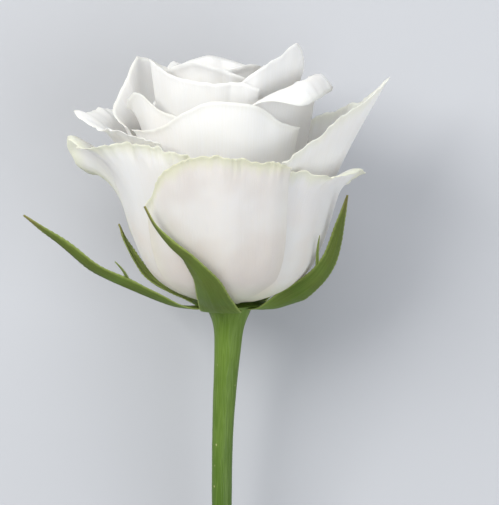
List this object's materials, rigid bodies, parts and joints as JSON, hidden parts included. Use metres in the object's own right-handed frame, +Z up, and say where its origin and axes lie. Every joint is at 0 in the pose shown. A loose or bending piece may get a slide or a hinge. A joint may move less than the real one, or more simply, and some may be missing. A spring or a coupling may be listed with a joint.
{
  "type": "rose",
  "caption": "Cut white rose, half open, with sepals and a bare stem, lying on its back petals and the end of its stem.",
  "frame": {"origin": "middle of the bounding box, on the table plane that the lying rose rests on", "axes": "+Y from the stem's cut end to the bloom, +Z up from the table, X across the bloom"},
  "size_m": [0.0902, 0.2422, 0.0647],
  "materials": {
    "petal": "soft satin white, cream at the foot, green-tinged at the outer rims",
    "sepal": "matt green with paler margins",
    "stem": "smooth fresh green with a pale bloom",
    "stamen": "matt yellow",
    "style": "matt pale green"
  },
  "bodies": {
    "root": {"petal_01": "petal", "petal_02": "petal", "petal_03": "petal", "petal_04": "petal", "petal_05": "petal", "petal_06": "petal", "petal_07": "petal", "petal_08": "petal", "petal_09": "petal", "petal_10": "petal", "petal_11": "petal", "petal_12": "petal", "petal_13": "petal", "petal_14": "petal", "petal_15": "petal", "petal_16": "petal", "petal_17": "petal", "petal_18": "petal", "petal_19": "petal", "petal_20": "petal", "petal_21": "petal", "petal_22": "petal", "petal_23": "petal", "petal_24": "petal", "petal_25": "petal", "petal_26": "petal", "petal_27": "petal", "petal_28": "petal", "sepal_front": "sepal", "sepal_right": "sepal", "sepal_back_right": "sepal", "sepal_back_left": "sepal", "sepal_left": "sepal", "stem": "stem", "stamens": "stamen", "styles": "style"}
  },
  "joints": []
}
